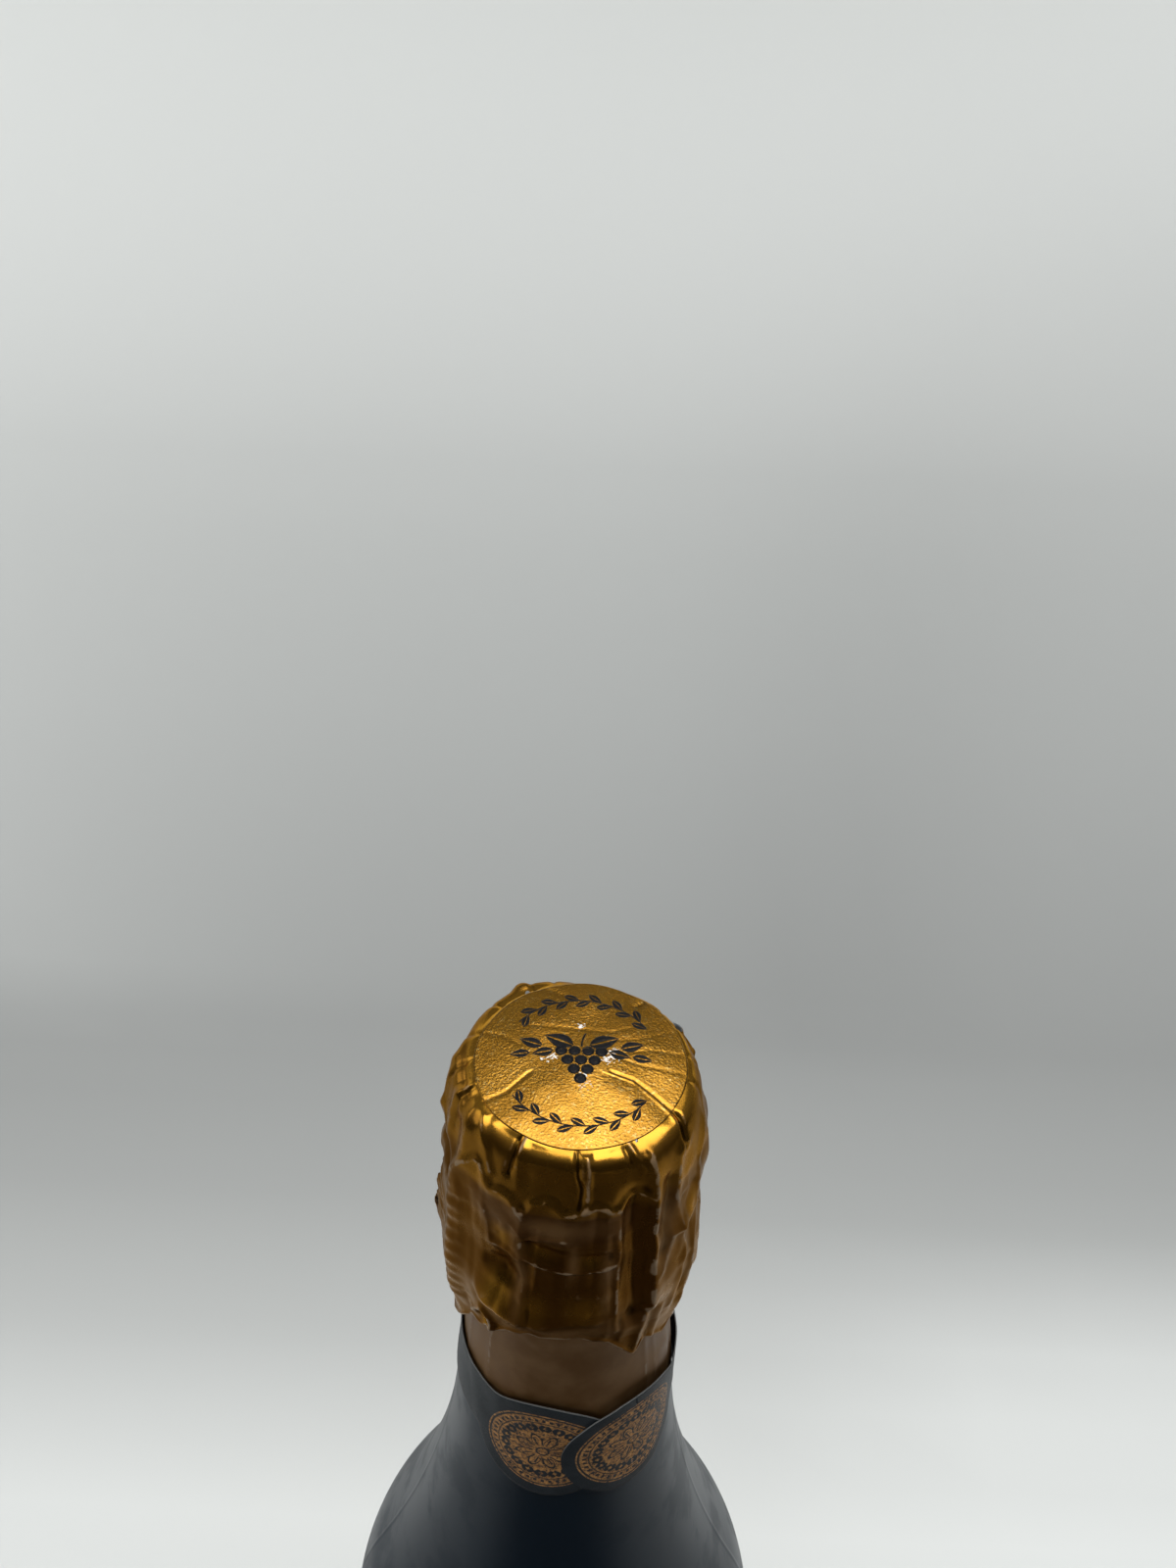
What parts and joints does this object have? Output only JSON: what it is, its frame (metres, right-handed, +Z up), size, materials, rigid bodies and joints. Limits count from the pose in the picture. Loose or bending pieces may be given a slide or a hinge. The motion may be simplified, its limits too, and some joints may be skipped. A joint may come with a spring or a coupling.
{
  "type": "champagne bottle",
  "caption": "Closed champagne bottle with crumpled gold foil hood, wire cage, mushroom cork, brown neck foil, dark collar label and bare body labels.",
  "frame": {"origin": "centre of the bottle's base, on the surface it stands on", "axes": "+Z up along the bottle's axis; -Y is the front, where the collar's round ends overlap"},
  "size_m": [0.088, 0.0888, 0.32],
  "materials": {
    "dark_green_glass": "gloss",
    "sparkling_wine": "clear",
    "agglomerated_cork": "matte",
    "natural_cork": "matte",
    "plaque_tinplate": "satin",
    "cage_wire": "satin",
    "gold_foil": "satin",
    "gold_disc": "satin",
    "brown_foil": "matte",
    "slate_paper": "matte",
    "label_paper": "matte"
  },
  "bodies": {
    "bottle": {"glass_bottle": "dark_green_glass", "wine": "sparkling_wine", "neck_foil": "brown_foil", "collar_label": "slate_paper", "front_label": "label_paper", "back_label": "label_paper"},
    "cork": {"cork_body": "agglomerated_cork", "cork_disc_upper": "natural_cork", "cork_disc_lower": "natural_cork"},
    "muselet": {"muselet_plaque": "plaque_tinplate", "wire_cage": "cage_wire", "belt_wire": "cage_wire"},
    "loop": {"belt_loop": "cage_wire"},
    "hood": {"foil_hood": "gold_foil", "foil_top_disc": "gold_disc"}
  },
  "joints": [
    {"name": "cork_pull", "type": "slide", "parent": "bottle", "child": "cork", "axis": [0, 0, 1], "range_m": [0, 0.05], "deforming": ["wire_cage", "belt_wire"]},
    {"name": "muselet_lift", "type": "slide", "parent": "cork", "child": "muselet", "axis": [0, 0, 1], "range_m": [0, 0.045]},
    {"name": "loop_fold", "type": "hinge", "parent": "muselet", "child": "loop", "pos_m": [-0.01669, 0.00294, 0.28478], "axis": [-0.1736, -0.9848, 0], "range_deg": [0, 80]},
    {"name": "hood_lift", "type": "slide", "parent": "muselet", "child": "hood", "axis": [0, 0, 1], "range_m": [0, 0.07]}
  ]
}
